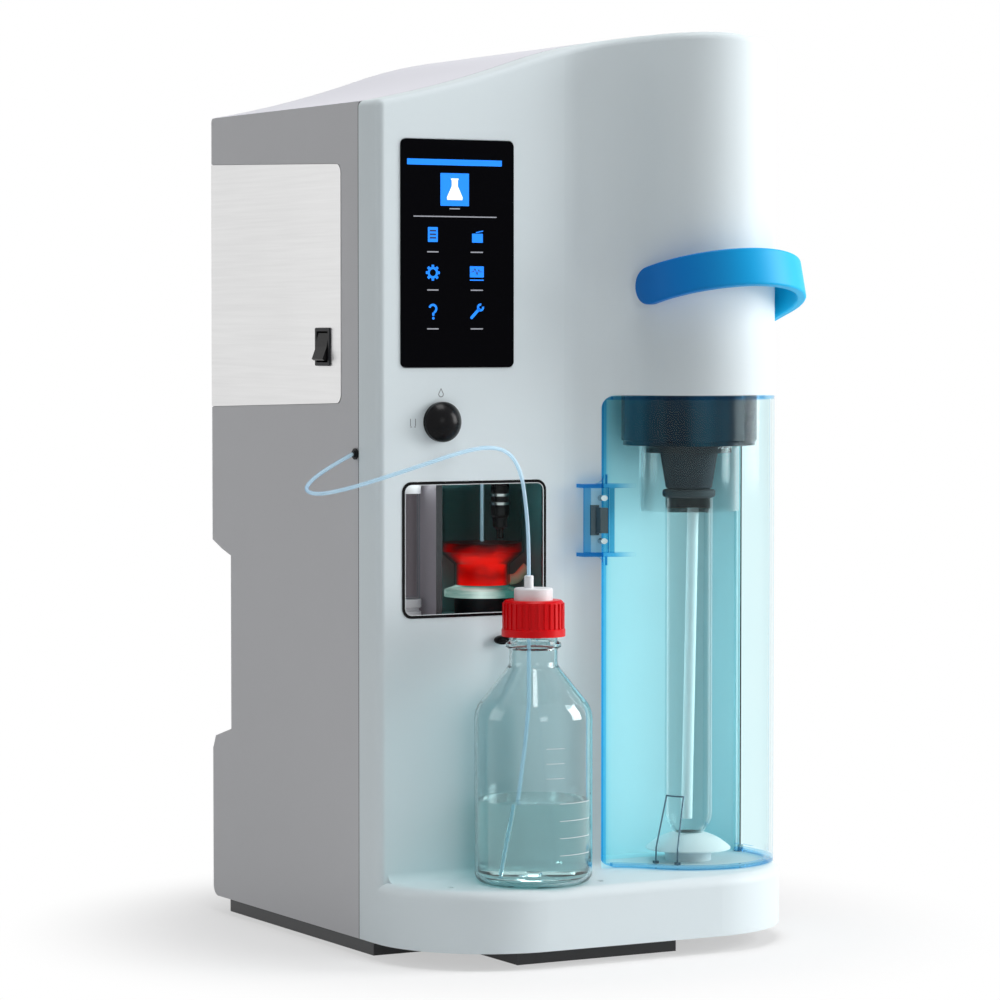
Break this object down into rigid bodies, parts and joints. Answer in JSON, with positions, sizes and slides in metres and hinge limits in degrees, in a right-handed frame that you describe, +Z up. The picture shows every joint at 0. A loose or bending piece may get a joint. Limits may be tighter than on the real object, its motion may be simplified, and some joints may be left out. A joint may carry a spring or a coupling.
{
  "type": "automatic distillation unit",
  "caption": "Benchtop steam distillation and titration unit with round column, tinted swing door over the test tube, locking lever, touch panel, viewing window and titrant bottle.",
  "frame": {"origin": "on the bench under the base tray's flat bottom, mid-width, in the plane of the round column's axis", "axes": "+X to the right seen from the operator's side, -Y towards the operator, +Z up"},
  "size_m": [0.4526, 0.4395, 0.7895],
  "materials": {
    "white_shell": "satin gloss",
    "grey_paint": "fine satin",
    "pale_paint": "satin",
    "dark_plinth": "matt",
    "zinc_sheet": "plain",
    "steel": "brushed",
    "black_plastic": "matt",
    "switch_black": "gloss",
    "black_glass": "gloss",
    "circuit": "matt",
    "knob_black": "gloss",
    "clear_pane": "clear",
    "pale_liner": "satin",
    "teal_liner": "satin",
    "glassware": "clear",
    "red_liquid": "clear",
    "titrant": "clear",
    "cream_rubber": "matt",
    "black_rubber": "matt",
    "grey_rubber": "matt",
    "clear_plastic": "clear",
    "door_tint": "clear, tinted",
    "blue_plastic": "satin gloss",
    "red_plastic": "satin",
    "white_plastic": "satin",
    "tube_clear": "clear"
  },
  "bodies": {
    "body": {"front_cover": "white_shell", "top_cover": "pale_paint", "left_panel": "grey_paint", "right_panel": "grey_paint", "back_panel": "grey_paint", "base_tray": "dark_plinth", "chassis": "zinc_sheet", "seam_gasket": "black_rubber", "steel_plate": "steel", "switch_bezel": "black_plastic", "display_glass": "black_glass", "display_board": "circuit", "window_pane": "clear_pane", "window_frame": "black_plastic", "titration_bay": "teal_liner", "bay_divider": "black_plastic", "burette": "glassware", "burette_clamps": "black_plastic", "titration_vessel": "glassware", "titration_liquid": "red_liquid", "stirrer": "black_plastic", "colour_probe": "black_plastic", "dosing_tube": "glassware", "bay_hose": "cream_rubber", "chamber_back": "pale_liner", "distillation_head": "black_plastic", "splash_skirt": "clear_plastic", "stopper": "black_rubber", "o_ring": "grey_rubber", "steam_tube": "white_plastic", "seat_pedestal": "pale_liner", "tube_clip": "steel", "catch_plate": "steel", "hinge_pins": "steel", "bottle": "glassware", "bottle_liquid": "titrant", "cap_insert": "white_plastic", "dip_tube": "tube_clear", "feed_tube": "tube_clear", "tube_gland": "black_plastic", "mains_inlet": "black_plastic", "hose_ports": "white_plastic", "steam_generator": "steel", "condenser": "glassware", "vapour_pipe": "glassware", "pumps": "black_plastic", "power_supply": "zinc_sheet"},
    "door": {"door": "door_tint", "door_magnet": "steel", "door_screws": "steel"},
    "lever": {"lever": "blue_plastic", "lever_shaft": "steel"},
    "tube_lift": {"tube_seat": "white_plastic", "test_tube": "glassware"},
    "knob": {"selector_knob": "knob_black"},
    "rocker": {"switch_rocker": "switch_black"},
    "cap": {"bottle_cap": "red_plastic"},
    "toggle": {"drain_toggle": "black_plastic"}
  },
  "joints": [
    {"name": "door_swing", "type": "hinge", "parent": "body", "child": "door", "pos_m": [0.1865, 0.022, 0.2715], "axis": [0, 0, 1], "range_deg": [0, 105]},
    {"name": "lever_swing", "type": "hinge", "parent": "body", "child": "lever", "pos_m": [0.1995, 0.02, 0.55016], "axis": [1, 0, 0], "range_deg": [0, 33]},
    {"name": "tube_lower", "type": "slide", "parent": "body", "child": "tube_lift", "axis": [0, 0, 1], "range_m": [-0.007, 0]},
    {"name": "knob_turn", "type": "hinge", "parent": "body", "child": "knob", "pos_m": [-0.1327, -0.005, 0.4556], "axis": [0, -1, 0], "range_deg": [0, 90]},
    {"name": "rocker_tilt", "type": "hinge", "parent": "body", "child": "rocker", "pos_m": [-0.1919, 0.097, 0.519], "axis": [0, -1, 0], "range_deg": [0, 16]},
    {"name": "cap_turn", "type": "hinge", "parent": "body", "child": "cap", "pos_m": [-0.0715, -0.0563, 0.29], "axis": [0, 0, 1], "range_deg": [0, 90]},
    {"name": "toggle_turn", "type": "hinge", "parent": "body", "child": "toggle", "pos_m": [-0.0755, -0.005, 0.2685], "axis": [0, -1, 0], "range_deg": [0, 90]}
  ],
  "couplings": [
    {"joint": "tube_lower", "follows": "lever_swing", "m_per_rad": -0.012}
  ]
}
